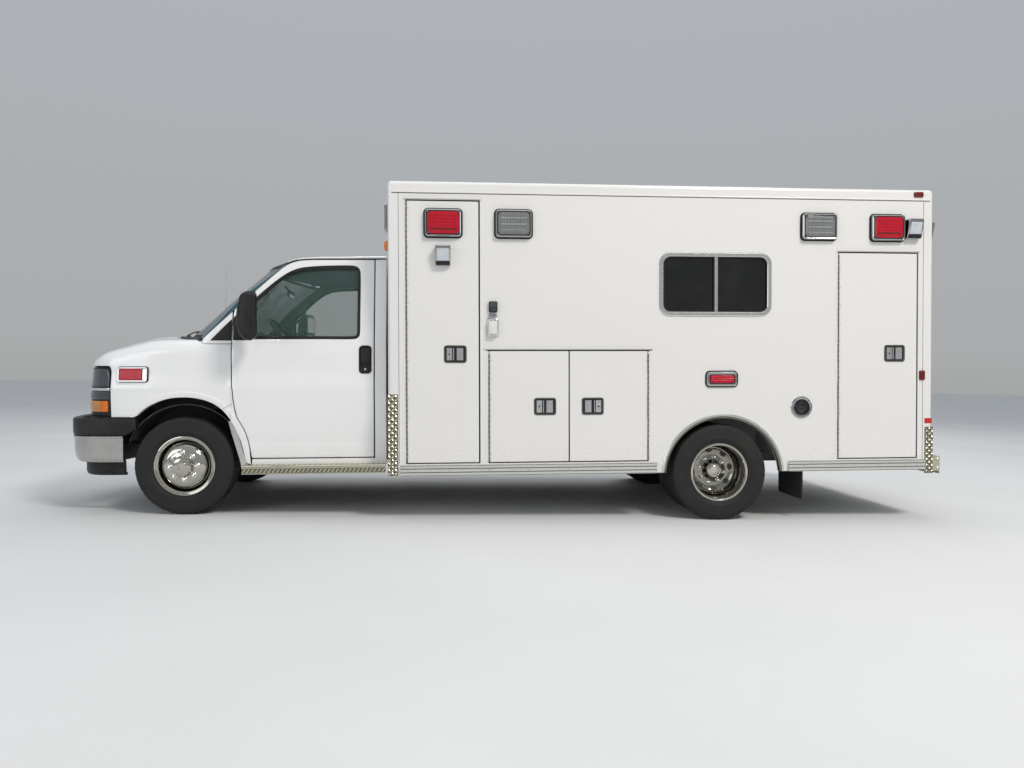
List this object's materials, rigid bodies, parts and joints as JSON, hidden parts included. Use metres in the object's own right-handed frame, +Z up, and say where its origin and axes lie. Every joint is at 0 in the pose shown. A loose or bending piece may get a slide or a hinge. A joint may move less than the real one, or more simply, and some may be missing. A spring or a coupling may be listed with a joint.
{
  "type": "box ambulance",
  "caption": "Box ambulance: rectangular patient module with hinged compartment doors on a cutaway van cab and frame, twin rear wheels.",
  "frame": {"origin": "middle of the overall box, on the ground under the tyres", "axes": "+X forward along the vehicle, +Y to its left, +Z up; body and chassis lean 1 degree nose down as in the picture"},
  "size_m": [6.8442, 2.579, 2.5706],
  "materials": {
    "box_paint": "gloss coachwork paint, slightly creamy white",
    "cab_paint": "gloss white paint",
    "tinted_glass": "tinted glazing",
    "compartment_sheet": "mill finish sheet",
    "floor_sheet": "satin grey",
    "trim_aluminium": "bright extrusion and tread plate",
    "lamp": "bright bezels with coloured lenses",
    "frame_black": "chassis black",
    "iron": "dark casting",
    "tank": "satin black",
    "exhaust_steel": "dull steel tube",
    "black_rubber": "matte",
    "tyre": "matte rubber",
    "wheel_chrome": "bright wheel and cover",
    "bumper_chrome": "bright bumper face",
    "grille": "bright and dark bars",
    "headlamp": "clear and amber lens unit",
    "black_plastic": "satin black",
    "dash_plastic": "dark grain",
    "seat_vinyl": "grey vinyl",
    "bench_laminate": "white laminate"
  },
  "bodies": {
    "body": {"bench": "bench_laminate", "box_floor": "floor_sheet", "box_lights": "lamp", "box_roof": "box_paint", "cab_floor": "floor_sheet", "cab_seats": "seat_vinyl", "cab_shell": "cab_paint", "chassis_frame": "frame_black", "dashboard": "dash_plastic", "engine_block": "iron", "exhaust": "exhaust_steel", "front_bumper": "bumper_chrome", "front_fenders": "cab_paint", "front_suspension": "iron", "front_wall": "box_paint", "fuel_tank": "tank", "grille": "grille", "headlamps": "headlamp", "left_compartments": "compartment_sheet", "left_wall": "box_paint", "left_window": "tinted_glass", "mud_flaps": "black_rubber", "rear_axle": "iron", "rear_step": "trim_aluminium", "rear_wall": "box_paint", "right_compartments": "compartment_sheet", "right_wall": "box_paint", "rub_rails": "trim_aluminium", "running_boards": "trim_aluminium", "wheel_liners": "black_plastic", "windscreen": "tinted_glass"},
    "left_front_compartment_door": {"left_front_compartment_door": "box_paint"},
    "left_middle_door_front": {"left_middle_door_front": "box_paint"},
    "left_middle_door_rear": {"left_middle_door_rear": "box_paint"},
    "left_rear_compartment_door": {"left_rear_compartment_door": "box_paint"},
    "right_front_compartment_door": {"right_front_compartment_door": "box_paint"},
    "side_entry_door": {"side_entry_door": "box_paint", "entry_door_glass": "tinted_glass"},
    "right_rear_compartment_door": {"right_rear_compartment_door": "box_paint"},
    "rear_door_left": {"rear_door_left": "box_paint", "rear_glass_left": "tinted_glass"},
    "rear_door_right": {"rear_door_right": "box_paint", "rear_glass_right": "tinted_glass"},
    "cab_door_left": {"cab_door_left": "cab_paint", "door_glass_left": "tinted_glass"},
    "cab_door_right": {"cab_door_right": "cab_paint", "door_glass_right": "tinted_glass"},
    "hood": {"hood": "cab_paint"},
    "steering_left": {"left_knuckle": "iron"},
    "steering_right": {"right_knuckle": "iron"},
    "front_wheel_left": {"front_rim_left": "wheel_chrome", "front_tyre_left": "tyre"},
    "rear_wheels_left": {"rear_rims_left": "wheel_chrome", "rear_tyres_left": "tyre"},
    "front_wheel_right": {"front_rim_right": "wheel_chrome", "front_tyre_right": "tyre"},
    "rear_wheels_right": {"rear_rims_right": "wheel_chrome", "rear_tyres_right": "tyre"},
    "steering_wheel": {"steering_wheel": "black_plastic"}
  },
  "joints": [
    {"name": "left_front_compartment_door_hinge", "type": "hinge", "parent": "body", "child": "left_front_compartment_door", "pos_m": [0.76243, 1.2105, 1.38844], "axis": [-0.0174, 0, -0.9998], "range_deg": [0, 105]},
    {"name": "left_middle_door_front_hinge", "type": "hinge", "parent": "body", "child": "left_middle_door_front", "pos_m": [0.14495, 1.2105, 0.84911], "axis": [-0.0174, 0, -0.9998], "range_deg": [0, 105]},
    {"name": "left_middle_door_rear_hinge", "type": "hinge", "parent": "body", "child": "left_middle_door_rear", "pos_m": [-1.05687, 1.2105, 0.87003], "axis": [0.0174, 0, 0.9998], "range_deg": [0, 105]},
    {"name": "left_rear_compartment_door_hinge", "type": "hinge", "parent": "body", "child": "left_rear_compartment_door", "pos_m": [-2.54111, 1.2105, 1.27093], "axis": [-0.0174, 0, -0.9998], "range_deg": [0, 105]},
    {"name": "right_front_compartment_door_hinge", "type": "hinge", "parent": "body", "child": "right_front_compartment_door", "pos_m": [0.76243, -1.2105, 1.38844], "axis": [0.0174, 0, 0.9998], "range_deg": [0, 105]},
    {"name": "side_entry_door_hinge", "type": "hinge", "parent": "body", "child": "side_entry_door", "pos_m": [0.15005, -1.2105, 1.42911], "axis": [0.0174, 0, 0.9998], "range_deg": [0, 95]},
    {"name": "right_rear_compartment_door_hinge", "type": "hinge", "parent": "body", "child": "right_rear_compartment_door", "pos_m": [-2.54486, -1.2105, 1.05596], "axis": [0.0174, 0, 0.9998], "range_deg": [0, 105]},
    {"name": "rear_door_left_hinge", "type": "hinge", "parent": "body", "child": "rear_door_left", "pos_m": [-3.30547, 0.615, 1.54428], "axis": [-0.0174, 0, -0.9998], "range_deg": [0, 120]},
    {"name": "rear_door_right_hinge", "type": "hinge", "parent": "body", "child": "rear_door_right", "pos_m": [-3.30547, -0.615, 1.54428], "axis": [0.0174, 0, 0.9998], "range_deg": [0, 120]},
    {"name": "cab_door_left_hinge", "type": "hinge", "parent": "body", "child": "cab_door_left", "pos_m": [2.07014, 1.01, 1.01562], "axis": [-0.0174, 0, -0.9998], "range_deg": [0, 68]},
    {"name": "cab_door_right_hinge", "type": "hinge", "parent": "body", "child": "cab_door_right", "pos_m": [2.07014, -1.01, 1.01562], "axis": [0.0174, 0, 0.9998], "range_deg": [0, 68]},
    {"name": "hood_hinge", "type": "hinge", "parent": "body", "child": "hood", "pos_m": [2.44901, 0, 1.34907], "axis": [0, -1, 0], "range_deg": [0, 45]},
    {"name": "steer_left", "type": "hinge", "parent": "body", "child": "steering_left", "pos_m": [2.413, 0.8, 0.366], "axis": [0, 0, 1], "range_deg": [-30, 30]},
    {"name": "steer_right", "type": "hinge", "parent": "body", "child": "steering_right", "pos_m": [2.413, -0.8, 0.366], "axis": [0, 0, 1], "range_deg": [-30, 30]},
    {"name": "front_wheel_left_spin", "type": "hinge", "parent": "steering_left", "child": "front_wheel_left", "pos_m": [2.413, 0.87, 0.366], "axis": [0, 1, 0], "continuous": true},
    {"name": "rear_wheels_left_spin", "type": "hinge", "parent": "body", "child": "rear_wheels_left", "pos_m": [-1.626, 0.959, 0.366], "axis": [0, 1, 0], "continuous": true},
    {"name": "front_wheel_right_spin", "type": "hinge", "parent": "steering_right", "child": "front_wheel_right", "pos_m": [2.413, -0.87, 0.366], "axis": [0, 1, 0], "continuous": true},
    {"name": "rear_wheels_right_spin", "type": "hinge", "parent": "body", "child": "rear_wheels_right", "pos_m": [-1.626, -0.959, 0.366], "axis": [0, 1, 0], "continuous": true},
    {"name": "steering_wheel_turn", "type": "hinge", "parent": "body", "child": "steering_wheel", "pos_m": [1.78411, 0.43, 1.36065], "axis": [-0.7772, 0, 0.6293], "range_deg": [-430, 430]}
  ],
  "couplings": [
    {"joint": "steer_right", "follows": "steer_left", "ratio": 1},
    {"joint": "steering_wheel_turn", "follows": "steer_left", "ratio": 14}
  ]
}
